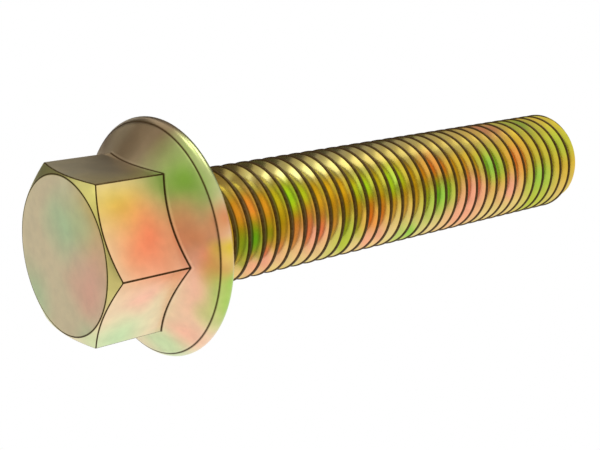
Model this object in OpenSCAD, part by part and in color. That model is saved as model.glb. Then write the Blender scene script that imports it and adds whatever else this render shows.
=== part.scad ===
// Hexagon flange bolt with a right-hand metric thread along its whole shank.
// One solid piece: hexagon head, round flange with a coned top, plain neck, threaded shank.
// Z = 0 is the seating face under the flange. The shank points up along +Z and the head is
// below, so the bolt stands on the flat top of its head. All sizes are in millimetres.

/* [Head] */
// Width across the flats of the hexagon, the spanner size
across_flats = 13; // [12.5:0.1:13.5]
// Height of the head, from the seating face to its flat top
head_h = 9.3; // [8.5:0.1:11]
// Diameter of the round flat on top of the head, as a share of the width across the flats
top_face_share = 0.975; // [0.92:0.005:0.99]
// Slope of the chamfer round the six corners, in degrees from the flat top
corner_chamfer_angle = 28; // [20:1:34]

/* [Flange] */
// Outside diameter of the flange
flange_d = 19.7; // [18.5:0.1:22]
// Thickness of the flange at its fully rounded rim
rim_h = 1.5; // [1.2:0.05:1.8]
// Slope of the coned top of the flange, in degrees from the seating face
cone_angle = 30.5; // [22:0.5:34]

/* [Shank] */
// Length from the seating face to the tip
shank_len = 50; // [30:1:70]
// Major diameter, of the plain neck and of the thread
thread_d = 10; // [9:0.1:10.5]
// Radius of the fillet between the seating face and the neck
fillet_r = 0.4; // [0.2:0.05:0.6]
// Height of the plain neck above the seating face
neck_len = 2; // [1.5:0.1:3]
// Height of the bevel round the tip, sloped 45 degrees
tip_bevel = 0.3; // [0.2:0.05:0.8]

/* [Thread] */
// Distance from one turn to the next
pitch = 1.5; // [1:0.05:1.75]
// Depth of the groove, as a share of the pitch
groove_share = 0.6134; // [0.55:0.01:0.62]
// Width of the flat crest, as a share of the pitch
crest_share = 0.125; // [0.1:0.005:0.15]
// Half of the angle between two flanks, in degrees
flank_angle = 30; // [27.5:0.5:30]
// Length over which the groove fades out towards the neck
runout_len = 1.6; // [1:0.1:3]
// Room between the crests and the major diameter, on the radius
crest_room = 0.016; // [0.01:0.002:0.03]
// Turn of the whole thread about the axis, in degrees
thread_turn = 107; // [0:1:359]
// Straight steps in one turn, fewer where a long fine thread has many turns
steps_per_turn = 32; // [24:4:36]

/* [Hidden] */

// Steps in a full turn of the turned surfaces, steps of the small rounds, sides of the head
turned_steps = 64;
round_steps = 24;
head_sides = 6;

// Head: radius over the corners, radius of the flat top, height of the hexagon prism
corner_r = across_flats / 2 / cos(180 / head_sides);
top_face_r = top_face_share * across_flats / 2;
prism_h = head_h - rim_h / 2;

// Flange: rim radius, circle the rim round turns on, where the cone leaves the rim round
rim_r = rim_h / 2;
rim_circle = flange_d / 2 - rim_r;
cone_out = [rim_circle + rim_r * sin(cone_angle), -rim_r - rim_r * cos(cone_angle)];
// The cone ends inside the hexagon
cone_in_r = across_flats / 3;
cone_in = [cone_in_r, cone_out.y - (cone_out.x - cone_in_r) * tan(cone_angle)];

// Thread: crest radius, groove depth and the widths of crest, flank and root
crest_r = thread_d / 2 - crest_room;
groove_h = groove_share * pitch;
crest_w = crest_share * pitch;
flank_w = groove_h * tan(flank_angle);
root_w = pitch - crest_w - 2 * flank_w;
tip_r = crest_r - tip_bevel;
// Heights of the four edges of the profile within one pitch: crest, crest, root, root
edges = [0, crest_w, crest_w + flank_w, crest_w + flank_w + root_w];

// Turns of the thread, and the steps in each so that the faces stay within the budget
face_budget = 10500;
turns = (shank_len - neck_len) / pitch;
faces_per_step = 2 * len(edges);
budget_steps = floor(face_budget / (turns * faces_per_step));
steps = min(steps_per_turn, budget_steps);
// The lowest turn starts one pitch under the end of the neck
first_z = neck_len - pitch;
// The body of the thread starts half way down the neck, so that the two overlap
sunk_z = neck_len / 2;
// Edges nearer than this to the start of the grooves or to the tip are left out
edge_gap = pitch / 50;
// The wall runs straight to just above the neck, so that none of its points lie on the neck's end
start_z = neck_len + edge_gap;
// Points this near to the bevel count as lying on it
bevel_gap = pitch / 150;

// Share of the full groove depth at the height u within one pitch
function profile_share(u) =
    u < edges[1] ? 0
    : u < edges[2] ? (u - edges[1]) / flank_w
    : u < edges[3] ? 1
    : (pitch - u) / flank_w;

// Depth of the groove at height z, fading out towards the neck
function groove_at(z) =
    let (t = min(1, max(0, (z - neck_len) / runout_len)))
    groove_h * t * t * (3 - 2 * t);

// Radius of the thread at height z in the column at the share f of a turn
function thread_r(z, f) =
    let (q = (z - first_z) / pitch - f)
    crest_r - groove_at(z) * profile_share((q - floor(q)) * pitch);

// Radius of the bevel round the tip at height z
function bevel_r(z) = tip_r + shank_len - z;

// Side of the bevel on which a point lies: 1 outside, 0 on it, -1 inside
function bevel_side(p) =
    let (out = p.x - bevel_r(p.y))
    out > bevel_gap ? 1 : out < -bevel_gap ? -1 : 0;

// Point at which the line from p to q meets the bevel
function bevel_cut(p, q) =
    let (a = p.x - bevel_r(p.y))
    let (b = q.x - bevel_r(q.y))
    p + (q - p) * a / (a - b);

// Heights of the profile edges in one column, each with its radius
function edge_points(f) = [
    for (turn = [0 : ceil(turns) + 1])
        for (e = edges)
            let (z = first_z + (turn + f) * pitch + e)
            if (z > start_z + edge_gap && z < shank_len - edge_gap)
                [crest_r - (e >= edges[2] ? groove_at(z) : 0), z]
];

// Outline of one column from inside the neck to the tip, before the bevel is cut
function raw_column(f) = concat(
    [[crest_r, sunk_z], [crest_r, start_z]],
    edge_points(f),
    [[thread_r(shank_len, f), shank_len]]
);

// Outline of one column with the bevel cut
function column(f) =
    let (raw = raw_column(f))
    let (last = len(raw) - 1)
    concat(
        [
            for (i = [0 : last - 1])
                each concat(
                    bevel_side(raw[i]) < 1 ? [raw[i]] : [],
                    bevel_side(raw[i]) * bevel_side(raw[i + 1]) == -1
                        ? [bevel_cut(raw[i], raw[i + 1])]
                        : []
                )
        ],
        [[min(raw[last].x, tip_r), shank_len]]
    );

// Next to climb between two neighbouring columns a and b: true for a
function climb_a(a, b, i, j) =
    j >= len(b) - 1
    || (i < len(a) - 1 && a[i + 1].y <= b[j + 1].y - pitch / steps);

// Faces between column a, whose points start at sa, and the next column b, at sb
function strip(a, b, sa, sb) = [
    for (
        i = 0, j = 0, up = climb_a(a, b, 0, 0);
        i < len(a) - 1 || j < len(b) - 1;
        i = up ? i + 1 : i,
        j = up ? j : j + 1,
        up = climb_a(a, b, i, j)
    )
        up ? [sa + i, sa + i + 1, sb + j] : [sa + i, sb + j + 1, sb + j]
];

// The threaded shank, a helix that starts inside the neck and is cut flat at the tip
module thread() {
    columns = [for (c = [0 : steps - 1]) column(c / steps)];
    counts = [for (col = columns) len(col)];
    starts = [for (c = 0, s = 0; c < steps; s = s + counts[c], c = c + 1) s];
    ring = [
        for (c = [0 : steps - 1])
            for (p = columns[c])
                [p.x * cos(360 * c / steps), p.x * sin(360 * c / steps), p.y]
    ];
    low = len(ring);
    high = low + 1;
    sides = [
        for (c = [0 : steps - 1])
            let (n = (c + 1) % steps)
            each strip(columns[c], columns[n], starts[c], starts[n])
    ];
    caps = [
        for (c = [0 : steps - 1])
            let (n = (c + 1) % steps)
            each [
                [low, starts[c], starts[n]],
                [high, starts[n] + counts[n] - 1, starts[c] + counts[c] - 1]
            ]
    ];
    rotate([0, 0, thread_turn]) {
        polyhedron(
            points = concat(ring, [[0, 0, sunk_z], [0, 0, shank_len]]),
            faces = concat(sides, caps),
            convexity = 10
        );
    }
}

// Hexagon prism with its six corners chamfered by one cone at the top of the head
module hexagon() {
    translate([0, 0, -head_h]) {
        intersection() {
            cylinder(r = corner_r, h = prism_h, $fn = head_sides);
            cylinder(
                r1 = top_face_r,
                r2 = top_face_r + prism_h / tan(corner_chamfer_angle),
                h = prism_h,
                $fn = turned_steps
            );
        }
    }
}

// Flange with a fully rounded rim and a coned top, with its flat seating face at Z = 0
module flange() {
    rotate_extrude($fn = turned_steps) {
        union() {
            polygon([[0, 0], [rim_circle, 0], cone_out, cone_in, [0, cone_in.y]]);
            translate([rim_circle, -rim_r]) {
                circle(r = rim_r, $fn = round_steps);
            }
        }
    }
}

// Plain neck with the fillet that leads into the seating face
module neck() {
    rotate_extrude($fn = turned_steps) {
        difference() {
            translate([0, -rim_r]) {
                square([thread_d / 2 + fillet_r, rim_r + neck_len]);
            }
            translate([thread_d / 2 + fillet_r, fillet_r]) {
                circle(r = fillet_r, $fn = round_steps);
            }
            translate([thread_d / 2, fillet_r]) {
                square([2 * fillet_r, neck_len]);
            }
        }
    }
}

module flange_bolt() {
    color([0.80, 0.68, 0.36]) {
        union() {
            hexagon();
            flange();
            neck();
            thread();
        }
    }
}

flange_bolt();
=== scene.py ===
"""Shapes, finish and studio of a hexagon flange bolt in yellow passivated zinc."""

import math

import bpy
from mathutils import Matrix, Vector


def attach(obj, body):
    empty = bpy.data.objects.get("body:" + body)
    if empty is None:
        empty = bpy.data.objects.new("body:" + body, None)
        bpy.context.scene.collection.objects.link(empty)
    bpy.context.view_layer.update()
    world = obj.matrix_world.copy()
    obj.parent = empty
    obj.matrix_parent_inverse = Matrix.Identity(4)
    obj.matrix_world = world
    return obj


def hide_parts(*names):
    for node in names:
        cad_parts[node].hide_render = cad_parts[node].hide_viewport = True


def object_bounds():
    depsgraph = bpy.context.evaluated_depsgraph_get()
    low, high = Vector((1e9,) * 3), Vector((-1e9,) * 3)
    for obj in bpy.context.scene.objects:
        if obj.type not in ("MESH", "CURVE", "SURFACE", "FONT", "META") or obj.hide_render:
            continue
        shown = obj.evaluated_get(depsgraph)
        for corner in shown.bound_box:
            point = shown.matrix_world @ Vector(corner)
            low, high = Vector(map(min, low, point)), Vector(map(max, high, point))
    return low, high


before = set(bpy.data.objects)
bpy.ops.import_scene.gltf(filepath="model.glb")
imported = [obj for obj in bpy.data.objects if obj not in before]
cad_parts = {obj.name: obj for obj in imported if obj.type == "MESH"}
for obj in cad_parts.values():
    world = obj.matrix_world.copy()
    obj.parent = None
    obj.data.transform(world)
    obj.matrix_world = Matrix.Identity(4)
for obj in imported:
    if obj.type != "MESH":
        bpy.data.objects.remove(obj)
cad_low, cad_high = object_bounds()

bl_info = {
    "name": "Flange bolt",
    "version": (1, 0, 0),
    "blender": (4, 5, 0),
    "location": "View3D > Sidebar > Flange bolt",
    "description": "Makes a hexagon flange bolt with a rolled thread and a zinc finish",
    "category": "Add Mesh",
}

MM = 0.001
CAD_NODE = "flange_bolt"

# Sides of the hexagon, and the angle from one of its corners to the next
HEAD_SIDES = 6
SECTOR = 2 * math.pi / HEAD_SIDES

# Columns of faces on each half of a corner's rounding and on each half of a flat
CORNER_COLUMNS = 3
FLAT_COLUMNS = 10
# Share of a corner's rounding up to which a column counts as on it
CORNER_LIMIT = 0.999

# Steps of the arcs that round the outlines
TOP_STEPS = 4
CHAMFER_STEPS = 6
JUNCTION_STEPS = 8
RIM_STEPS = 18
FILLET_STEPS = 6
CREST_STEPS = 2
ROOT_STEPS = 3

# Rings of faces inside the flat top, the seating face and the tip, as shares of their radius
TOP_RING = 0.92
SEAT_RING = 0.98
TIP_RING = 0.6

# Room under the end of the neck, and between the thread's rows and a level ring, in pitches
NECK_ROOM = 0.02
ROW_ROOM = 0.001
# Turns of rows that reach past each end of the thread, where they are cut off
SPARE_TURNS = 2
# Edges that turn by more than this, in degrees, are shaded as sharp
SHARP_ANGLE = 35

# How steeply the dark edge line rises from the ends of an arc, and of a corner's rounding
ARC_RISE = 2.6
CORNER_RISE = 3.0
# Dark line, painted shade in the crease, on the first points of the blend between the flats and
# the cone
JUNCTION_LINE = (0.0, 1.0, 1.0, 0.9, 0.2)
# Points of that blend that the dark line of a corner runs on to
CORNER_RUN = 3
# Dark line on the first point of the rim's round, and how much of it the fillet keeps as painted
# shade in its crease
RIM_LINE = 0.9
FILLET_LINE = 0.3
# The crest's dark line, painted shade that stands for the root beside it, runs down the flank on
# the head's side: the row where it has ended, and how far a row still counts as on it, both in
# widths of its line
LINE_END = 1.3
LINE_LIMIT = 1.1
# First row down the flank on the tip's side, and how far a row counts as on the line there,
# both as shares of the flank
TIP_SIDE_ROW = 0.3
TIP_SIDE_LIMIT = 0.25

# Direction across the axis of the side that the photograph shows
NEAR_SIDE = (-0.139, 0.990, 0.0)

# Slow noise that moves the outlines of the blotches: how much of it for each metre, and reach
HEAD_DRIFT = (180.0, 4.0 * MM)
THREAD_DRIFT = (260.0, 2.0 * MM)
DRIFT_DETAIL = 1.0
# The noise's mean, which is taken off so that it moves the blotches both ways
NOISE_MIDDLE = (0.5, 0.5, 0.5)

# Seeded mottling of the far side: each colour, and how far its noise is shifted
HEAD_MOTTLES = (("head_rose", (0.0, 0.0, 0.0)), ("head_mint", (0.023, 0.011, 0.037)))
THREAD_MOTTLES = (("thread_orange", (0.031, 0.017, 0.043)), ("thread_green", (0.0, 0.0, 0.0)))
# Part of the noise's range over which the mottling comes in
HEAD_MOTTLE_SPAN = (0.46, 0.66)
THREAD_MOTTLE_SPAN = (0.42, 0.68)
# Two places along NEAR_SIDE, and the strength of the mottling at each
HEAD_MOTTLE_PLACES = (-4.5 * MM, -1.5 * MM)
HEAD_MOTTLE_LEVELS = (0.8, 0.0)
THREAD_MOTTLE_PLACES = (-1.0 * MM, 3.0 * MM)
THREAD_MOTTLE_LEVELS = (0.75, 0.15)
# Heights above the flat top between which the head's mottling comes in
MOTTLE_RISE = (0.3 * MM, 1.5 * MM)
MOTTLE_DETAIL = 1.0

# Blotches of film on the head, some of them painted shade: colour, middle and reach, in
# millimetres
HEAD_BLOTCHES = (
    ("head_mint", (2.0, 2.0, -9.3), 4.2),
    ("head_mint", (-1.5, -7.0, -9.3), 4.5),
    ("head_rose", (-2.4, 2.2, -9.3), 4.2),
    ("head_yellow", (1.8, 7.4, -7.4), 6.2),
    ("head_orange", (-1.4, 7.2, -5.4), 6.2),
    ("head_rose", (-5.2, 4.6, -6.4), 2.6),
    ("head_mint", (-7.4, 0.8, -7.4), 4.2),
    # Painted shade on the top of the cone
    ("head_umber_shade", (8.0, 3.4, -2.4), 8.0),
    ("head_umber_shade", (8.8, -2.8, -1.2), 5.0),
    ("head_umber_shade", (6.4, 6.0, -1.8), 4.4),
    # Green film, made darker as painted shade against the flank lamp's glow on the cone
    ("head_shaded_green", (2.4, 8.2, -2.2), 5.4),
    ("head_copper", (-2.4, 8.4, -2.2), 4.4),
    ("head_rose", (-5.6, 6.0, -1.6), 4.0),
    ("head_rose", (-8.0, 2.4, -1.6), 3.6),
    ("head_mint", (-8.8, -1.6, -0.8), 4.0),
    ("head_orange", (-5.0, 8.0, -0.8), 2.6),
    ("head_copper", (-0.6, 9.8, -0.5), 2.2),
    ("head_yellow", (-3.8, 9.1, -0.3), 1.8),
    ("head_lime", (-6.4, 7.6, -0.4), 3.2),
    ("head_lime", (-7.6, 6.1, -0.5), 2.4),
)

# Film on the thread: colour, angle from +X in degrees, height and reach in millimetres. The
# streaks are painted highlights and painted shade in bands along the axis, and are this many
# times longer along the axis than across it
STREAK_STRETCH = 10
THREAD_LIGHT_AND_SHADE_STREAKS = (
    # In turn: painted shade on the side towards +X, painted light on the side towards -X, a
    # painted highlight on the flanks, a painted brighter gold band, and painted shade that dims
    # the highlight
    ("thread_top_shade", 26, 20, 4.2),
    ("thread_lower_light", 166, 24, 5.2),
    ("thread_highlight_cream", 58, 10, 2.0),
    ("thread_lit_gold", 87, 13, 1.7),
    ("thread_dimming_straw", 60, 28, 1.8),
)
THREAD_BLOTCHES = (
    ("thread_amber", 88, 5.4, 3.0),
    ("thread_spring", 85, 10.4, 2.5),
    ("thread_spring", 87, 18.8, 2.4),
    ("thread_spring", 87, 22.6, 2.4),
    ("thread_orange", 84, 28.4, 3.0),
    ("thread_green", 120, 28.6, 3.6),
    ("thread_rose", 133, 12.6, 4.2),
    ("thread_rose", 154, 7.6, 3.2),
    ("thread_green", 126, 5.6, 2.8),
    ("thread_lime", 138, 17.0, 2.6),
    ("thread_orange", 130, 19.8, 2.8),
    ("thread_rose", 128, 33.6, 4.0),
    ("thread_green", 90, 36.6, 2.8),
    ("thread_orange", 94, 41.0, 3.0),
    ("thread_rose", 128, 39.4, 2.6),
    ("thread_green", 122, 44.2, 3.4),
    ("thread_copper", 34, 39.6, 3.6),
    ("thread_olive", 38, 44.6, 3.6),
    ("thread_lime", 152, 16.6, 3.2),
    ("thread_rose", 156, 20.8, 2.6),
    ("thread_green", 162, 25.6, 2.8),
    ("thread_rose", 156, 33.0, 4.2),
    ("thread_lime", 156, 44.6, 4.0),
    ("thread_lime", 78, 47.6, 3.6),
)
# Distance of the thread's film from the axis, as a share of the thread's width
FILM_RADIUS = 0.46

# Film of the corner chamfers: heights over their cone between which it fades out, its
# strength, where it weakens towards -X, and the share of it that is left there
CHAMFER_FADE = (0.02 * MM, 0.08 * MM)
CHAMFER_STRENGTH = 0.8
CHAMFER_SIDE = (-6.5 * MM, -4.0 * MM)
CHAMFER_SIDE_SHARE = 0.15

# Heights between which the head's finish gives way to the thread's
HEAD_TO_THREAD = (0.0, 1.0 * MM)
# Shares of the groove's depth over which painted shade makes its flanks and then its root darker
FLANK_SPAN = (0.2, 0.7)
ROOT_SPAN = (0.78, 0.92)
# Share of the dark edge line that is left where the grain thins it
THIN_EDGE = 0.92
# Heights where the rougher cone begins, and distances from the axis where it ends
CONE_START = (-3.7 * MM, -3.1 * MM)
CONE_END = (9.2 * MM, 9.5 * MM)
# How far patches change the roughness, where an edge starts to be rougher, and by how much
PATCH_ROUGHNESS = 0.015
EDGE_START = 0.3
EDGE_ROUGHNESS = 0.35
METALLIC = 0.9

# Part of a noise's range that is used in full
NOISE_SPAN = (0.3, 0.7)
# Noise of the clouds in the film, the patches of roughness and the paper's fibres: how much
# of it for each metre, and its detail
CLOUDS = (900.0, 3.0)
PATCHES = (480.0, 3.0)
FIBRES = (900.0, 4.0)
# Detail and roughness of the noise of the zinc's grain
GRAIN = (4.0, 0.6)
# Brightness of the clouds, from the darkest to the palest
CLOUD_LEVELS = (0.95, 1.04)
# Strength and depth of the bumps
ZINC_BUMP = (0.02, 0.02 * MM)
PAPER_BUMP = (0.05, 0.1 * MM)
# Brightness of the paper's fibres, and roughness from the smoothest to the roughest
FIBRE_SHADE = 0.97
PAPER_ROUGHNESS = (0.85, 0.95)

# Room between the floor and the flat top, so that the two don't share a plane
FLOOR_GAP = 0.03 * MM
# The camera shows nothing that is nearer than this
CLIP_START = 5 * MM

# Lamps: direction from the bolt in the camera's right, up and back, width, level in Studio
LAMP_DISTANCE = 0.30
LAMPS = (
    ("key_lamp", (0.41, 0.86, -0.31), 0.12, "key_level"),
    ("flank_lamp", (-0.75, 0.395, 0.525), 0.10, "flank_level"),
    ("top_lamp", (0.05, 0.99, 0.08), 0.10, "top_level"),
)

# Cards for the metal to mirror: direction as for the lamps, width, material and its grey
CARD_DISTANCE = 0.25
CARDS = (
    ("card_above", (0.03, 0.57, -0.82), 0.29, "dark_card", 0.09),
    ("card_upper_left", (-0.83, 0.40, -0.385), 0.20, "dim_card", 0.10),
    ("card_left", (-0.96, -0.21, -0.17), 0.20, "grey_card", 0.54),
    ("card_front", (-0.62, -0.24, 0.74), 0.10, "front_card", 0.28),
    ("card_narrow", (-0.73, 0.17, 0.65), 0.045, "narrow_card", 0.15),
)

# Curve of screen colours: a straight line up to the knee, and a power from there on
SCREEN_KNEE = 0.04045
SCREEN_SLOPE = 12.92
SCREEN_OFFSET = 0.055
SCREEN_POWER = 2.4

# Sockets of a Mix node that are for colours
FACTOR, FIRST_COLOUR, SECOND_COLOUR = 0, 6, 7
MIXED_COLOUR = 2


def from_screen(red, green, blue):
    """Linear colour of a screen colour whose channels run from 0 to 255."""
    channels = []
    for value in (red, green, blue):
        level = value / 255
        if level <= SCREEN_KNEE:
            channels.append(level / SCREEN_SLOPE)
        else:
            channels.append(((level + SCREEN_OFFSET) / (1 + SCREEN_OFFSET)) ** SCREEN_POWER)
    return tuple(channels)


def length(name, description, default):
    """A size in metres, shown in the scene's unit."""
    return bpy.props.FloatProperty(
        name=name,
        description=description,
        default=default,
        min=0.0,
        precision=5,
        subtype="DISTANCE",
        unit="LENGTH",
    )


def angle(name, description, degrees):
    """An angle, written in degrees."""
    return bpy.props.FloatProperty(
        name=name,
        description=description,
        default=math.radians(degrees),
        subtype="ANGLE",
        unit="ROTATION",
    )


def share(name, description, default):
    """A share from 0 to 1."""
    return bpy.props.FloatProperty(
        name=name, description=description, default=default, min=0.0, max=1.0, subtype="FACTOR"
    )


def number(name, description, default, unit="NONE"):
    """A plain number."""
    return bpy.props.FloatProperty(
        name=name, description=description, default=default, min=0.0, unit=unit
    )


def colour(name, description, default):
    """A colour, linear."""
    return bpy.props.FloatVectorProperty(
        name=name,
        description=description,
        default=default,
        size=3,
        min=0.0,
        max=1.0,
        subtype="COLOR",
    )


def place(name, description, default_mm):
    """A point, written in millimetres."""
    return bpy.props.FloatVectorProperty(
        name=name,
        description=description,
        default=[value * MM for value in default_mm],
        size=3,
        precision=5,
        subtype="TRANSLATION",
        unit="LENGTH",
    )


class HeadSizes(bpy.types.PropertyGroup):
    """Sizes of the hexagon and the flange."""

    across_flats: length("Across flats", "Width of the hexagon over its flats", 13 * MM)
    head_height: length("Head height", "From the seating face to the top of the head", -cad_low.z)
    top_share: share("Top face", "Round top face as a share of the width over the flats", 0.975)
    chamfer: angle("Chamfer", "Slope of the corner chamfer from the top face", 28)
    flange_width: length("Flange", "Outside diameter of the flange", cad_high.x - cad_low.x)
    rim_height: length("Rim", "Thickness of the flange at its round rim", 1.5 * MM)
    cone: angle("Cone", "Slope of the flange's coned top", 30.5)
    top_round: length("Top round", "Rounding between top face and chamfer", 0.36 * MM)
    chamfer_round: length("Chamfer round", "Rounding between chamfer and flats", 0.14 * MM)
    corner_round: length("Corner round", "Rounding of the six upright edges", 0.20 * MM)
    junction_round: length("Junction round", "Blend between the flats and the cone", 0.45 * MM)
    line_width: length("Rim line", "Width of the darker line where cone meets rim", 0.10 * MM)


class ThreadSizes(bpy.types.PropertyGroup):
    """Sizes of the neck and the thread."""

    shank_length: length("Shank", "From the seating face to the tip", cad_high.z)
    thread_width: length("Thread", "Major diameter", 10 * MM)
    fillet: length("Fillet", "Fillet between the seating face and the neck", 0.4 * MM)
    neck: length("Neck", "Height of the plain neck", 2 * MM)
    bevel: length("Tip bevel", "Height of the bevel round the tip", 0.3 * MM)
    pitch: length("Pitch", "From one turn to the next", 1.5 * MM)
    groove_share: share("Groove", "Depth of the groove as a share of the pitch", 0.6134)
    crest_share: share("Crest", "Flat crest as a share of the pitch", 0.125)
    flank: angle("Flank", "Half of the angle between two flanks", 30)
    run_out: length("Run-out", "Length over which the groove fades towards the neck", 1.6 * MM)
    crest_room: length("Crest room", "Room between the crests and the major radius", 0.016 * MM)
    turn: angle("Turn", "Turn of the whole thread about the axis", 107)
    crest_round: length("Crest round", "Rounding of the crest's edges", 0.04 * MM)
    root_round: length("Root round", "Rounding in the root of the groove", 0.20 * MM)
    # The crest's dark line is painted shade that stands for the root beside it
    line_width: length("Crest line", "How far the crest's film runs down its flank", 0.12 * MM)


class ZincFinish(bpy.types.PropertyGroup):
    """Colours and texture of the passivated zinc, with painted highlights and painted shade among
    them.
    """

    head_tan: colour("Head tan", "Main colour of the head", from_screen(238, 220, 178))
    # Green film, darkened as painted shade against the flank lamp's glow on the cone
    head_shaded_green: colour("Head shaded green", "Green film on the head", from_screen(114, 158, 42))
    head_mint: colour("Head mint", "Pale green film on the head", from_screen(204, 226, 174))
    head_rose: colour("Head rose", "Rose film on the head", from_screen(250, 194, 166))
    head_lime: colour("Head lime", "Yellowish green film on the head", from_screen(172, 208, 96))
    head_copper: colour("Head copper", "Copper film on the head", from_screen(216, 144, 96))
    head_orange: colour("Head orange", "Orange film on the head", from_screen(248, 132, 90))
    head_olive: colour("Head olive", "Film on the corner chamfers", from_screen(196, 190, 104))
    head_yellow: colour("Head yellow", "Yellow film on the head", from_screen(224, 194, 66))
    # Painted shade: brownish film that darkens the top of the cone
    head_umber_shade: colour("Head umber shade", "Brownish film on the head", from_screen(148, 124, 92))
    thread_gold: colour("Thread gold", "Main colour of the thread", from_screen(220, 186, 58))
    thread_green: colour("Thread green", "Green film on the thread", from_screen(158, 210, 76))
    thread_orange: colour("Thread orange", "Orange film on the thread", from_screen(244, 160, 76))
    thread_lime: colour("Thread lime", "Yellowish green film", from_screen(190, 202, 66))
    thread_rose: colour("Thread rose", "Rose film on the thread", from_screen(250, 172, 136))
    # Painted highlight: pale film along the upper flanks
    thread_highlight_cream: colour("Thread highlight cream", "Palest film on the thread", from_screen(220, 212, 136))
    # Painted light: a brighter gold band along the thread
    thread_lit_gold: colour("Thread lit gold", "Brightest gold film", from_screen(246, 214, 80))
    # Painted shade: duller film that dims the highlight halfway up the thread
    thread_dimming_straw: colour("Thread dimming straw", "Dull gold film", from_screen(176, 158, 84))
    thread_amber: colour("Thread amber", "Amber film on the thread", from_screen(255, 196, 112))
    thread_spring: colour("Thread spring green", "Bright green film", from_screen(206, 240, 84))
    thread_copper: colour("Thread copper", "Dull copper film", from_screen(180, 114, 82))
    thread_olive: colour("Thread olive", "Dull green film", from_screen(138, 154, 60))
    # Painted shade: dull film along the side of the thread towards +X
    thread_top_shade: colour("Thread top shade", "Dull film on the thread", from_screen(150, 136, 90))
    # Painted light: pale film along the side of the thread towards -X
    thread_lower_light: colour("Thread lower light", "Pale film on one side", from_screen(238, 212, 142))
    # Dark line along the edges: painted shade on the thread's crests for the roots beside them, in
    # the blend's crease and in the fillet; a plain dark line on the head's outer edges
    edge_line_and_shade_tone: colour("Edge line and shade tone", "Darker film along the edges", from_screen(64, 42, 8))
    head_blotch: number("Head blotches", "Seeded blotches for each metre on the head", 210.0)
    thread_blotch: number("Thread blotches", "Seeded blotches for each metre", 260.0)
    grain: number("Grain", "Grains for each metre", 5200.0)
    # Painted shade on the thread's lower flanks and in its roots
    flank_shade: share("Flank shade", "How much darker the thread's lower flanks are", 0.08)
    root_shade: share("Root shade", "How much darker the roots of the thread are", 0.8)
    edge_share: share("Edge line", "How far the edges take on their darker film", 1.0)
    head_roughness: share("Head roughness", "Middle roughness of the forged head", 0.30)
    cone_roughness: share("Cone roughness", "Middle roughness of the flange's cone", 0.50)
    thread_roughness: share("Thread roughness", "Middle roughness of the rolled thread", 0.18)


class Studio(bpy.types.PropertyGroup):
    """Camera, floor and lamps."""

    camera_place: place("Camera", "Where the camera stands", (-11.022, 77.274, -50.863))
    camera_aim: place("Aim", "The point the camera looks at", (-1.473, -0.182, 14.484))
    camera_roll: angle("Roll", "Turn of the camera about its line of sight", -77.871)
    lens: number("Lens", "Focal length in millimetres", 67.980, unit="CAMERA")
    floor_width: length("Floor", "Width of the floor", 2.0)
    floor_colour: colour("Floor colour", "Colour of the floor", from_screen(236, 236, 234))
    plain_level: number("Plain level", "Strength of the light all round", 0.75)
    key_level: number("Key", "Brightness of the main lamp, where 1 is white paper", 5.0)
    flank_level: number("Flank lamp", "Brightness of the lamp that lights the flanks", 1.35)
    top_level: number("Top lamp", "Brightness of the lamp above the rim", 5.0)


class Corner:
    """A corner of an outline, with the radius that rounds it and the steps of its arc."""

    def __init__(self, across, up, radius=0.0, steps=0):
        self.point = Vector((across, up))
        self.radius = radius
        self.steps = steps


def rounded(corners):
    """Points of an outline with its corners rounded, each with 1 in the middle of an arc."""
    points = [(corners[0].point, 0.0)]
    for before, corner, after in zip(corners, corners[1:], corners[2:]):
        if corner.radius <= 0:
            points.append((corner.point, 0.0))
            continue
        back = (before.point - corner.point).normalized()
        ahead = (after.point - corner.point).normalized()
        half = back.angle(ahead) / 2
        reach = corner.radius / math.tan(half)
        centre = corner.point + (back + ahead).normalized() * corner.radius / math.sin(half)
        start = corner.point + back * reach - centre
        end = corner.point + ahead * reach - centre
        sweep = start.angle_signed(end)
        for step in range(corner.steps + 1):
            turned = start.copy()
            turned.rotate(Matrix.Rotation(-sweep * step / corner.steps, 2))
            edge = min(1.0, ARC_RISE * math.sin(math.pi * step / corner.steps))
            points.append((centre + turned, edge))
    points.append((corners[-1].point, 0.0))
    return points


def column_angles(head):
    """Angles of the columns of faces, close together at the six corners of the hexagon."""
    edge = corner_reach(head)
    rest = SECTOR / 2 - edge
    half = [edge * step / CORNER_COLUMNS for step in range(CORNER_COLUMNS + 1)]
    half += [edge + rest * step / FLAT_COLUMNS for step in range(1, FLAT_COLUMNS + 1)]
    sector = half + [SECTOR - value for value in reversed(half[1:-1])]
    return [side * SECTOR + value for side in range(HEAD_SIDES) for value in sector]


def corner_centre(head):
    """Distance of the corner rounding's centre from the axis."""
    over_corners = head.across_flats / 2 / math.cos(SECTOR / 2)
    return over_corners - head.corner_round / math.cos(SECTOR / 2)


def corner_reach(head):
    """Angle from the middle of a corner to the end of its rounding."""
    across = corner_centre(head) + head.corner_round * math.cos(SECTOR / 2)
    return math.atan2(head.corner_round * math.sin(SECTOR / 2), across)


def hexagon_radius(head, turn):
    """Distance from the axis to the hexagon's side, and 1 in the middle of a corner's rounding."""
    off = abs((turn + SECTOR / 2) % SECTOR - SECTOR / 2)
    reach = corner_reach(head)
    if off < reach * CORNER_LIMIT:
        centre = corner_centre(head)
        inside = head.corner_round**2 - (centre * math.sin(off)) ** 2
        edge = min(1.0, CORNER_RISE * (1 - off / reach))
        return centre * math.cos(off) + math.sqrt(inside), edge
    return head.across_flats / 2 / math.cos(SECTOR / 2 - off), 0.0


def cone_end(head):
    """The point where the cone meets the round of the rim."""
    rim = head.rim_height / 2
    rim_circle = head.flange_width / 2 - rim
    return Vector((rim_circle + rim * math.sin(head.cone), -rim - rim * math.cos(head.cone)))


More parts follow.
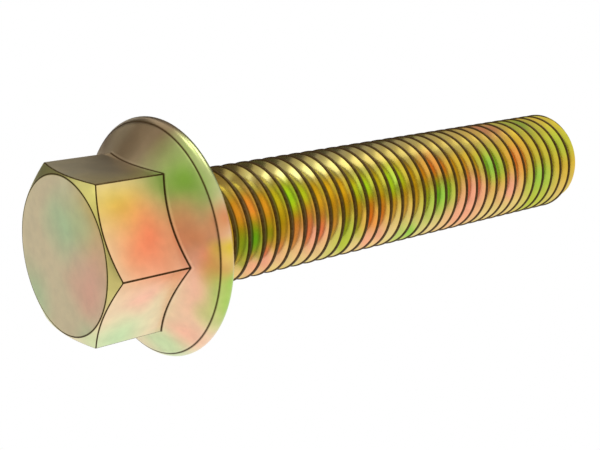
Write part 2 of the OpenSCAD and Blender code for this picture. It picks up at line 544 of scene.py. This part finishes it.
def side_outline(head, turn):
    """Outline of the head at one angle, from the flat top to just before the end of the cone."""
    top = -head.head_height
    top_radius = head.top_share * head.across_flats / 2
    side, on_corner = hexagon_radius(head, turn)
    end = cone_end(head)
    down_cone = Vector((math.cos(head.cone), math.sin(head.cone))) * head.line_width
    chamfer_end = top + (side - top_radius) * math.tan(head.chamfer)
    junction = end.y - (end.x - side) * math.tan(head.cone)
    outline = rounded(
        [
            Corner(TOP_RING * top_radius, top),
            Corner(top_radius, top, head.top_round, TOP_STEPS),
            Corner(side, chamfer_end, head.chamfer_round, CHAMFER_STEPS),
            Corner(side, junction, head.junction_round, JUNCTION_STEPS),
            Corner(*(end - down_cone)),
        ]
    )
    # The blend's arc has a point more than it has steps, and the last corner comes after it
    blend_start = len(outline) - (JUNCTION_STEPS + 2)
    toned = []
    for i, (point, edge) in enumerate(outline):
        into_blend = i - blend_start
        # The blend's first points get a dark line, painted shade in the crease
        if into_blend >= 0:
            edge = JUNCTION_LINE[into_blend] if into_blend < len(JUNCTION_LINE) else 0.0
        on_flat = point.y > chamfer_end and into_blend < CORNER_RUN
        toned.append((point, max(edge, on_corner) if on_flat else edge))
    return toned


def rim_outline(head):
    """Outline of the rim, from the end of the cone to the seating face."""
    rim = head.rim_height / 2
    rim_circle = head.flange_width / 2 - rim
    outline = [(cone_end(head), 1.0)]
    start = -math.pi / 2 + head.cone
    for step in range(RIM_STEPS + 1):
        # The first point is half a step from the end of the cone, to keep the line there narrow
        swing = start + (math.pi / 2 - start) * (step + 0.5) / (RIM_STEPS + 0.5)
        point = Vector((rim_circle + rim * math.cos(swing), -rim + rim * math.sin(swing)))
        outline.append((point, RIM_LINE if step == 0 else 0.0))
    return outline


def neck_outline(head, thread):
    """Outline from the seating face over the fillet to just under the end of the neck."""
    neck_radius = thread.thread_width / 2
    rim_circle = head.flange_width / 2 - head.rim_height / 2
    outline = rounded(
        [
            Corner(SEAT_RING * rim_circle, 0.0),
            Corner(neck_radius, 0.0, thread.fillet, FILLET_STEPS),
            Corner(neck_radius, thread.neck - NECK_ROOM * thread.pitch),
        ]
    )
    # The fillet keeps some of its dark line as painted shade in the crease
    return [(point, FILLET_LINE * edge) for point, edge in outline]


def thread_outline(thread):
    """Heights within one pitch and depths of the groove there, with 1 on and beside the crest."""
    crest = thread.crest_share * thread.pitch
    depth = thread.groove_share * thread.pitch
    flank = depth * math.tan(thread.flank)
    root = thread.pitch - crest - 2 * flank
    down = Vector((-math.sin(thread.flank), math.cos(thread.flank)))
    outline = rounded(
        [
            Corner(-flank / 2, depth / 2),
            Corner(*(LINE_END * thread.line_width * down)),
            Corner(*(thread.line_width * down)),
            Corner(0.0, 0.0, thread.crest_round, CREST_STEPS),
            Corner(crest, 0.0, thread.crest_round, CREST_STEPS),
            Corner(crest + TIP_SIDE_ROW * flank, TIP_SIDE_ROW * depth),
            Corner(crest + flank, depth, thread.root_round, ROOT_STEPS),
            Corner(crest + flank + root, depth, thread.root_round, ROOT_STEPS),
            Corner(thread.pitch - flank / 2, depth / 2),
        ]
    )
    # The crest and the tip side's upper flank get a dark line, painted shade for the root beside
    # it
    line_start = LINE_LIMIT * thread.line_width * down.x
    line_end = crest + TIP_SIDE_LIMIT * flank
    return [
        (point.x, point.y, 1.0 if line_start < point.x < line_end else 0.0)
        for point, _ in outline[1:-1]
    ]


def smooth(value):
    """Soft rise from 0 to 1."""
    value = min(1.0, max(0.0, value))
    return value * value * (3 - 2 * value)


def groove_depth(thread, outline, height, turn_share):
    """Depth of the full groove at a height, in the column at a share of a turn."""
    first = thread.neck - thread.pitch
    within = (height - first - turn_share * thread.pitch) % thread.pitch
    ring = [(outline[-1][0] - thread.pitch, outline[-1][1])]
    ring += [(up + shift, depth) for shift in (0.0, thread.pitch) for up, depth, _ in outline]
    for (low, shallow), (high, deep) in zip(ring, ring[1:]):
        if low <= within <= high:
            return shallow + (deep - shallow) * (within - low) / (high - low)
    return 0.0


class Skin:
    """Gathers the points and faces of the bolt, with the edge and groove values of each point."""

    def __init__(self):
        self.points = []
        self.faces = []
        self.edge = []
        self.groove = []

    def point(self, radius, turn, height, edge=0.0, groove=0.0):
        """Adds a point, and gives back its number."""
        self.points.append((radius * math.cos(turn), radius * math.sin(turn), height))
        self.edge.append(edge)
        self.groove.append(groove)
        return len(self.points) - 1

    def face(self, *corners):
        """Adds a face without its repeated corners, if at least three are left."""
        kept = [c for i, c in enumerate(corners) if c != corners[i - 1]]
        if len(kept) > 2:
            self.faces.append(kept)

    def strip(self, low_ring, high_ring):
        """Adds the faces between two rings."""
        for i, low in enumerate(low_ring):
            after = (i + 1) % len(low_ring)
            self.face(low, low_ring[after], high_ring[after], high_ring[i])

    def cap(self, ring, centre, upwards):
        """Adds the triangles between a ring and its centre."""
        for i, here in enumerate(ring):
            after = ring[(i + 1) % len(ring)]
            self.face(*((here, after, centre) if upwards else (after, here, centre)))


def head_skin(skin, head, thread, angles):
    """Adds the head, flange and neck, and gives back the ring at the end of the neck."""
    centre = skin.point(0.0, 0.0, -head.head_height)
    columns = []
    for turn in angles:
        outline = side_outline(head, turn) + rim_outline(head) + neck_outline(head, thread)
        columns.append([skin.point(point.x, turn, point.y, edge) for point, edge in outline])
    rings = list(zip(*columns))
    skin.cap(rings[0], centre, upwards=False)
    for low, high in zip(rings, rings[1:]):
        skin.strip(low, high)
    return rings[-1]


def thread_point(thread, outline, turn, height, depth=None, edge=0.0):
    """Radius, angle, height, edge and groove of one point of the thread."""
    turn_share = (turn - thread.turn) / (2 * math.pi)
    if depth is None:
        depth = groove_depth(thread, outline, height, turn_share)
    fade = smooth((height - thread.neck) / thread.run_out)
    crest = thread.thread_width / 2 - thread.crest_room * fade
    radius = crest - fade * depth
    bevel_radius = crest - thread.bevel + (thread.shank_length - height)
    full = thread.groove_share * thread.pitch
    return min(radius, bevel_radius), turn, height, edge * fade, fade * depth / full


def thread_ring(skin, thread, outline, angles, height):
    """Adds one level ring across the thread."""
    return [skin.point(*thread_point(thread, outline, turn, height)) for turn in angles]


def thread_skin(skin, thread, outline, angles, low_ring, low, high):
    """Adds the thread between two heights along its helix, and gives back its upper ring."""
    high_ring = thread_ring(skin, thread, outline, angles, high)
    turns = math.ceil(thread.shank_length / thread.pitch)
    rows = [
        (n * thread.pitch + up, depth, edge)
        for n in range(-SPARE_TURNS, turns + SPARE_TURNS + 1)
        for up, depth, edge in outline
    ]
    first = thread.neck - thread.pitch
    room = ROW_ROOM * thread.pitch
    columns = []
    for i, turn in enumerate(angles):
        start = first + thread.pitch * (turn - thread.turn) / (2 * math.pi)
        column = []
        for up, depth, edge in rows:
            height = start + up
            if height <= low + room:
                column.append(low_ring[i])
            elif height >= high - room:
                column.append(high_ring[i])
            else:
                values = thread_point(thread, outline, turn, height, depth, edge)
                column.append(skin.point(*values))
        columns.append(column)
    # After a full turn the first column stands beside the last one, higher by one pitch of rows
    beside_columns = columns[1:] + [columns[0][len(outline):]]
    for column, beside in zip(columns, beside_columns):
        for j in range(min(len(column), len(beside)) - 1):
            skin.face(column[j], beside[j], beside[j + 1], column[j + 1])
    return high_ring


def bolt_mesh(head, thread):
    """Closed mesh of the whole bolt."""
    skin = Skin()
    angles = column_angles(head)
    outline = thread_outline(thread)
    neck_ring = head_skin(skin, head, thread, angles)
    start_ring = thread_ring(skin, thread, outline, angles, thread.neck)
    skin.strip(neck_ring, start_ring)
    bevel_at = thread.shank_length - thread.bevel
    tip_at = thread.shank_length
    bevel_ring = thread_skin(skin, thread, outline, angles, start_ring, thread.neck, bevel_at)
    tip_ring = thread_skin(skin, thread, outline, angles, bevel_ring, bevel_at, tip_at)
    inner_radius = TIP_RING * thread.thread_width / 2
    inner_ring = [skin.point(inner_radius, turn, tip_at) for turn in angles]
    skin.strip(tip_ring, inner_ring)
    skin.cap(inner_ring, skin.point(0.0, 0.0, tip_at), upwards=True)
    mesh = bpy.data.meshes.new("flange_bolt_skin")
    mesh.from_pydata(skin.points, [], skin.faces)
    for name, values in (("edge", skin.edge), ("groove", skin.groove)):
        mesh.attributes.new(name, "FLOAT", "POINT").data.foreach_set("value", values)
    mesh.polygons.foreach_set("use_smooth", [True] * len(mesh.polygons))
    mesh.set_sharp_from_angle(angle=math.radians(SHARP_ANGLE))
    if mesh.validate():
        raise RuntimeError("The bolt's mesh has faulty faces")
    return mesh


class Tree:
    """Short calls for making the nodes of one node tree."""

    def __init__(self, tree):
        self.nodes = tree.nodes
        self.links = tree.links

    def fill(self, node, values):
        """Gives each named input its plain value, or what another node puts out."""
        for name, value in values.items():
            if isinstance(value, bpy.types.NodeSocket):
                self.links.new(value, node.inputs[name])
            else:
                node.inputs[name].default_value = value

    def add(self, kind, values=None, **settings):
        """Adds a node with its settings and inputs."""
        node = self.nodes.new(kind)
        for name, value in settings.items():
            setattr(node, name, value)
        self.fill(node, values or {})
        return node

    def noise(self, vector, scale, detail, roughness=0.5):
        """Value of a noise."""
        values = {"Vector": vector, "Scale": scale, "Detail": detail, "Roughness": roughness}
        return self.add("ShaderNodeTexNoise", values).outputs["Fac"]

    def ramp(self, value, low, high, to_low=0.0, to_high=1.0):
        """Soft rise or fall from one value to another."""
        values = {
            "Value": value,
            "From Min": low,
            "From Max": high,
            "To Min": to_low,
            "To Max": to_high,
        }
        node = self.add("ShaderNodeMapRange", values, interpolation_type="SMOOTHSTEP")
        return node.outputs["Result"]

    def math(self, operation, first, second):
        """Result of an operation on two values."""
        return self.add("ShaderNodeMath", {0: first, 1: second}, operation=operation).outputs[0]

    def vector(self, operation, first, second=None, output="Vector"):
        """Result of an operation on one vector or two."""
        values = {0: first} if second is None else {0: first, 1: second}
        node = self.add("ShaderNodeVectorMath", values, operation=operation)
        return node.outputs[output]

    def mix(self, factor, first, second):
        """Mix of two colours."""
        values = {FACTOR: factor, FIRST_COLOUR: first, SECOND_COLOUR: second}
        return self.add("ShaderNodeMix", values, data_type="RGBA").outputs[MIXED_COLOUR]

    def bump(self, height, strength, distance):
        """Normal of a bumpy surface."""
        values = {"Height": height, "Strength": strength, "Distance": distance}
        return self.add("ShaderNodeBump", values).outputs["Normal"]


def new_material(name):
    """A new material, and the calls that make its nodes."""
    material = bpy.data.materials.new(name)
    material.use_nodes = True
    return material, Tree(material.node_tree)


def solid(rgb):
    """A colour with full opacity."""
    return (*rgb, 1.0)


def blotch_group():
    """Node group of one soft-edged blotch: 1 at its middle and 0 beyond its reach."""
    group = bpy.data.node_groups.new("film_blotch", "ShaderNodeTree")
    for name, way, kind in (
        ("Place", "INPUT", "NodeSocketVector"),
        ("Middle", "INPUT", "NodeSocketVector"),
        ("Reach", "INPUT", "NodeSocketFloat"),
        ("Mask", "OUTPUT", "NodeSocketFloat"),
    ):
        group.interface.new_socket(name, in_out=way, socket_type=kind)
    tree = Tree(group)
    given = tree.add("NodeGroupInput").outputs
    away = tree.vector("DISTANCE", given["Place"], given["Middle"], output="Value")
    tree.add("NodeGroupOutput", {"Mask": tree.ramp(away, 0.0, given["Reach"], 1.0, 0.0)})
    return group


def drift(tree, position, scale, reach):
    """The position moved about by slow noise, so that blotches have uneven outlines."""
    values = {"Vector": position, "Scale": scale, "Detail": DRIFT_DETAIL}
    noise = tree.add("ShaderNodeTexNoise", values)
    centred = tree.vector("SUBTRACT", noise.outputs["Color"], NOISE_MIDDLE)
    moved = tree.add("ShaderNodeVectorMath", {0: centred, "Scale": reach}, operation="SCALE")
    return tree.vector("ADD", position, moved.outputs["Vector"])


def add_blotch(tree, film, group, where, middle, reach, tint):
    """The film with one more blotch on it."""
    values = {"Place": where, "Middle": middle, "Reach": reach}
    mask = tree.add("ShaderNodeGroup", values, node_tree=group).outputs["Mask"]
    return tree.mix(mask, film, solid(tint))


def mottle(tree, finish, film, position, scale, span, amount, mottles):
    """The film with seeded mottling on it, one colour after the other."""
    for tint, shift in mottles:
        noise = tree.noise(tree.vector("ADD", position, shift), scale, MOTTLE_DETAIL)
        mask = tree.math("MULTIPLY", tree.ramp(noise, *span), amount)
        film = tree.mix(mask, film, solid(getattr(finish, tint)))
    return film


def along_near_side(tree, position, places, levels):
    """A value that changes between two places along NEAR_SIDE, a fixed direction of the bolt."""
    near = tree.vector("DOT_PRODUCT", position, NEAR_SIDE, output="Value")
    return tree.ramp(near, *places, *levels)


def head_film(tree, finish, position, height, group):
    """Film on the head and flange: pale tan with wide soft blotches, some of them painted shade,
    mottled on the far side.
    """
    amount = along_near_side(tree, position, HEAD_MOTTLE_PLACES, HEAD_MOTTLE_LEVELS)
    off_top = tree.ramp(height, *[cad_low.z + rise for rise in MOTTLE_RISE])
    amount = tree.math("MULTIPLY", amount, off_top)
    film = solid(finish.head_tan)
    scale = finish.head_blotch
    film = mottle(tree, finish, film, position, scale, HEAD_MOTTLE_SPAN, amount, HEAD_MOTTLES)
    where = drift(tree, position, *HEAD_DRIFT)
    for tint, middle, reach in HEAD_BLOTCHES:
        middle = [value * MM for value in middle]
        film = add_blotch(tree, film, group, where, middle, reach * MM, getattr(finish, tint))
    return film


def thread_film(tree, finish, position, radius, group):
    """Film on the thread: gold with long streaks of painted highlight and painted shade, and small
    strong blotches.
    """
    amount = along_near_side(tree, position, THREAD_MOTTLE_PLACES, THREAD_MOTTLE_LEVELS)
    film = solid(finish.thread_gold)
    scale = finish.thread_blotch
    film = mottle(tree, finish, film, position, scale, THREAD_MOTTLE_SPAN, amount, THREAD_MOTTLES)
    where = drift(tree, position, *THREAD_DRIFT)
    squeezed = tree.vector("MULTIPLY", where, (1, 1, 1 / STREAK_STRETCH))
    # The streaks are painted highlights and painted shade; the blotches are film
    for spots, spot_place, stretch in (
        (THREAD_LIGHT_AND_SHADE_STREAKS, squeezed, STREAK_STRETCH),
        (THREAD_BLOTCHES, where, 1),
    ):
        for tint, degrees, height, reach in spots:
            turn = math.radians(degrees)
            middle = (radius * math.cos(turn), radius * math.sin(turn), height * MM / stretch)
            tint = getattr(finish, tint)
            film = add_blotch(tree, film, group, spot_place, middle, reach * MM, tint)
    return film


def chamfer_mask(tree, head, sideways, height, from_axis):
    """Mask of the corner chamfers of the hexagon, weaker towards -X."""
    slope = math.tan(head.chamfer)
    level = -head.head_height - slope * head.top_share * head.across_flats / 2
    over = tree.math("SUBTRACT", height, tree.math("MULTIPLY", from_axis, slope))
    full, none = [level + fade for fade in CHAMFER_FADE]
    on_chamfer = tree.ramp(over, full, none, CHAMFER_STRENGTH, 0.0)
    weaker = tree.ramp(sideways, *CHAMFER_SIDE, CHAMFER_SIDE_SHARE, 1.0)
    return tree.math("MULTIPLY", on_chamfer, weaker)


def zinc_film(tree, finish, head, thread, position, from_axis):
    """Film of the whole bolt: the head's, which gives way to the thread's on the neck."""
    axes = tree.add("ShaderNodeSeparateXYZ", {"Vector": position}).outputs
    group = blotch_group()
    on_head = head_film(tree, finish, position, axes["Z"], group)
    chamfer = chamfer_mask(tree, head, axes["X"], axes["Z"], from_axis)
    on_head = tree.mix(chamfer, on_head, solid(finish.head_olive))
    on_thread = thread_film(tree, finish, position, FILM_RADIUS * thread.thread_width, group)
    return tree.mix(tree.ramp(axes["Z"], *HEAD_TO_THREAD), on_head, on_thread)


def shade_film(tree, finish, film, position, edge, groove, grain):
    """The film with clouds, with painted shade in the grooves of the thread, and dark lines along
    the edges that are partly painted shade.
    """
    cloud = tree.ramp(tree.noise(position, *CLOUDS), *NOISE_SPAN, *CLOUD_LEVELS)
    # Painted shade in the grooves of the thread
    on_flank = tree.ramp(groove, *FLANK_SPAN, 1.0, 1.0 - finish.flank_shade)
    in_root = tree.ramp(groove, *ROOT_SPAN, 1.0, 1.0 - finish.root_shade)
    shade = tree.math("MULTIPLY", tree.math("MULTIPLY", on_flank, in_root), cloud)
    shaded = tree.add("ShaderNodeHueSaturation", {"Color": film, "Value": shade})
    # Dark lines along the edges, partly painted shade
    uneven = tree.ramp(grain, *NOISE_SPAN, THIN_EDGE * finish.edge_share, finish.edge_share)
    on_edge = tree.math("MULTIPLY", edge, uneven)
    return tree.mix(on_edge, shaded.outputs["Color"], solid(finish.edge_line_and_shade_tone))


def zinc_roughness(tree, finish, position, height, from_axis, edge):
    """Roughness of the zinc, which differs on the head, the cone, the thread and the edges."""
    patches = tree.noise(position, *PATCHES)
    patches = tree.ramp(patches, *NOISE_SPAN, -PATCH_ROUGHNESS, PATCH_ROUGHNESS)
    on_edge = tree.ramp(edge, EDGE_START, 1.0, 0.0, EDGE_ROUGHNESS)
    inside_rim = tree.ramp(from_axis, *CONE_END, 1.0, 0.0)
    on_cone = tree.math("MULTIPLY", tree.ramp(height, *CONE_START), inside_rim)
    on_head = tree.ramp(on_cone, 0.0, 1.0, finish.head_roughness, finish.cone_roughness)
    level = tree.ramp(height, *HEAD_TO_THREAD, on_head, finish.thread_roughness)
    return tree.math("ADD", level, tree.math("ADD", patches, on_edge))


def zinc_material(finish, head, thread):
    """Satin passivated zinc whose film is paler on the head and stronger on the thread."""
    material, tree = new_material("yellow_passivated_zinc")
    position = tree.add("ShaderNodeTexCoord").outputs["Object"]
    height = tree.add("ShaderNodeSeparateXYZ", {"Vector": position}).outputs["Z"]
    from_axis = tree.vector("LENGTH", tree.vector("MULTIPLY", position, (1, 1, 0)), output="Value")
    edge = tree.add("ShaderNodeAttribute", attribute_name="edge").outputs["Fac"]
    groove = tree.add("ShaderNodeAttribute", attribute_name="groove").outputs["Fac"]
    grain = tree.noise(position, finish.grain, *GRAIN)
    film = zinc_film(tree, finish, head, thread, position, from_axis)
    values = {
        "Base Color": shade_film(tree, finish, film, position, edge, groove, grain),
        "Roughness": zinc_roughness(tree, finish, position, height, from_axis, edge),
        "Normal": tree.bump(grain, *ZINC_BUMP),
        "Metallic": METALLIC,
    }
    tree.fill(tree.nodes["Principled BSDF"], values)
    return material


def floor_material(studio):
    """Pale paper that is open when seen from below, where the photograph's camera stands."""
    material, tree = new_material("pale_paper")
    shader = tree.nodes["Principled BSDF"]
    position = tree.add("ShaderNodeTexCoord").outputs["Object"]
    fibre = tree.noise(position, *FIBRES)
    shaded = [FIBRE_SHADE * value for value in studio.floor_colour]
    values = {
        "Base Color": tree.mix(fibre, solid(studio.floor_colour), solid(shaded)),
        "Roughness": tree.ramp(fibre, *NOISE_SPAN, *PAPER_ROUGHNESS),
        "Normal": tree.bump(fibre, *PAPER_BUMP),
    }
    tree.fill(shader, values)
    below = tree.add("ShaderNodeNewGeometry").outputs["Backfacing"]
    open_side = tree.add("ShaderNodeBsdfTransparent").outputs[0]
    both = tree.add("ShaderNodeMixShader", {0: below, 1: shader.outputs[0], 2: open_side})
    tree.fill(tree.nodes["Material Output"], {"Surface": both.outputs[0]})
    return material


def card_material(name, grey):
    """One plain grey that glows at its own level, so that it looks the same in any light."""
    material, tree = new_material(name)
    glow = tree.add("ShaderNodeEmission", {"Color": (grey, grey, grey, 1.0)})
    tree.fill(tree.nodes["Material Output"], {"Surface": glow.outputs[0]})
    return material


def link(thing):
    """Puts an object into the scene."""
    bpy.context.scene.collection.objects.link(thing)
    return thing


def square(name, width, level, material):
    """A level square sheet, in the scene."""
    half = width / 2
    corners = [(-half, -half), (half, -half), (half, half), (-half, half)]
    mesh = bpy.data.meshes.new(name)
    mesh.from_pydata([(x, y, level) for x, y in corners], [], [(0, 1, 2, 3)])
    mesh.materials.append(material)
    return link(bpy.data.objects.new(name, mesh))


def camera_axes(studio):
    """Directions of the camera's right, up and back."""
    ahead = (Vector(studio.camera_aim) - Vector(studio.camera_place)).normalized()
    level_up = Vector((0, 0, 1))
    level_up = (level_up - level_up.dot(ahead) * ahead).normalized()
    side = ahead.cross(level_up)
    up = math.cos(studio.camera_roll) * level_up + math.sin(studio.camera_roll) * side
    return ahead.cross(up), up, -ahead


def away_from_bolt(studio, direction):
    """Unit vector of a direction that is given by the camera's right, up and back."""
    side, up, back = (axis * part for axis, part in zip(camera_axes(studio), direction))
    return (side + up + back).normalized()


def stand_off(thing, away, distance, axis):
    """Puts a thing at a distance from the middle of the bolt, with its Z along an axis."""
    thing.location = (cad_low + cad_high) / 2 + away * distance
    thing.rotation_euler = axis.to_track_quat("Z", "Y").to_euler()


def add_floor(studio):
    """Adds the floor, which lets the lamps' light through from below."""
    level = cad_low.z - FLOOR_GAP
    floor = square("floor", studio.floor_width, level, floor_material(studio))
    floor.visible_shadow = False
    floor.visible_glossy = False
    floor.visible_diffuse = False


def add_card(studio, name, direction, width, material):
    """Adds a card out of the camera's sight, which gives the metal something to mirror."""
    thing = square(name, width, 0.0, material)
    away = away_from_bolt(studio, direction)
    stand_off(thing, away, CARD_DISTANCE, -away)
    thing.visible_camera = False
    thing.visible_shadow = False
    thing.visible_diffuse = False


def add_lamp(studio, name, direction, width, level):
    """Adds a soft round lamp that shines at the bolt and looks as bright as its level."""
    data = bpy.data.lights.new(name, "AREA")
    data.shape = "DISK"
    data.size = width
    data.energy = math.pi * math.pi * (width / 2) ** 2 * level
    away = away_from_bolt(studio, direction)
    stand_off(link(bpy.data.objects.new(name, data)), away, LAMP_DISTANCE, away)


def light_all_round(scene, studio):
    """Makes the world's even light, which looks white to the camera and in reflections."""
    world = bpy.data.worlds.new("studio_light")
    scene.world = world
    world.use_nodes = True
    tree = Tree(world.node_tree)
    path = tree.add("ShaderNodeLightPath").outputs
    seen = tree.math("MAXIMUM", path["Is Camera Ray"], path["Is Glossy Ray"])
    seen = tree.math("MAXIMUM", seen, path["Is Transmission Ray"])
    strength = tree.ramp(seen, 0.0, 1.0, studio.plain_level, 1.0)
    tree.fill(tree.nodes["Background"], {"Color": (1, 1, 1, 1), "Strength": strength})


def aim_camera(scene, studio):
    """Puts the camera where the bolt is seen from the side of its head."""
    data = bpy.data.cameras.new("camera")
    data.lens = studio.lens
    data.clip_start = CLIP_START
    thing = link(bpy.data.objects.new("camera", data))
    turned = Matrix(camera_axes(studio)).transposed().to_4x4()
    thing.matrix_world = Matrix.Translation(Vector(studio.camera_place)) @ turned
    scene.camera = thing


class FLANGEBOLT_OT_shape_bolt(bpy.types.Operator):
    """Makes the bolt's mesh in place of the plain one"""

    bl_idname = "flange_bolt.shape_bolt"
    bl_label = "Shape bolt"

    def execute(self, context):
        scene = context.scene
        mesh = bolt_mesh(scene.bolt_head, scene.bolt_thread)
        mesh.materials.append(zinc_material(scene.bolt_finish, scene.bolt_head, scene.bolt_thread))
        bolt = link(bpy.data.objects.new("bolt_in_zinc", mesh))
        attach(bolt, "root")
        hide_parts(CAD_NODE)
        return {"FINISHED"}


class FLANGEBOLT_OT_set_studio(bpy.types.Operator):
    """Makes the floor, the cards, the lamps, the light all round and the camera"""

    bl_idname = "flange_bolt.set_studio"
    bl_label = "Set studio"

    def execute(self, context):
        scene = context.scene
        studio = scene.bolt_studio
        add_floor(studio)
        for name, direction, width, material, grey in CARDS:
            add_card(studio, name, direction, width, card_material(material, grey))
        for name, direction, width, level in LAMPS:
            add_lamp(studio, name, direction, width, getattr(studio, level))
        light_all_round(scene, studio)
        aim_camera(scene, studio)
        scene.view_settings.view_transform = "Standard"
        return {"FINISHED"}


class FLANGEBOLT_PT_sidebar(bpy.types.Panel):
    """Lists the steps and the sizes of the bolt"""

    bl_idname = "FLANGEBOLT_PT_sidebar"
    bl_label = "Flange bolt"
    bl_space_type = "VIEW_3D"
    bl_region_type = "UI"
    bl_category = "Flange bolt"

    def draw(self, context):
        for name in STEPS:
            self.layout.operator(name)
        for pointer, group in GROUPS.items():
            box = self.layout.box()
            for value in group.__annotations__:
                box.prop(getattr(context.scene, pointer), value)


STEPS = ("flange_bolt.shape_bolt", "flange_bolt.set_studio")
GROUPS = {
    "bolt_head": HeadSizes,
    "bolt_thread": ThreadSizes,
    "bolt_finish": ZincFinish,
    "bolt_studio": Studio,
}
CLASSES = (
    HeadSizes,
    ThreadSizes,
    ZincFinish,
    Studio,
    FLANGEBOLT_OT_shape_bolt,
    FLANGEBOLT_OT_set_studio,
    FLANGEBOLT_PT_sidebar,
)


def register():
    """Makes the classes known to Blender, and gives each scene its values."""
    for kind in CLASSES:
        bpy.utils.register_class(kind)
    for pointer, group in GROUPS.items():
        setattr(bpy.types.Scene, pointer, bpy.props.PointerProperty(type=group))


def unregister():
    """Takes back what register does."""
    for pointer in GROUPS:
        delattr(bpy.types.Scene, pointer)
    for kind in reversed(CLASSES):
        bpy.utils.unregister_class(kind)


def main():
    """Makes the whole scene."""
    register()
    bpy.ops.flange_bolt.shape_bolt()
    bpy.ops.flange_bolt.set_studio()


if __name__ == "__main__":
    main()
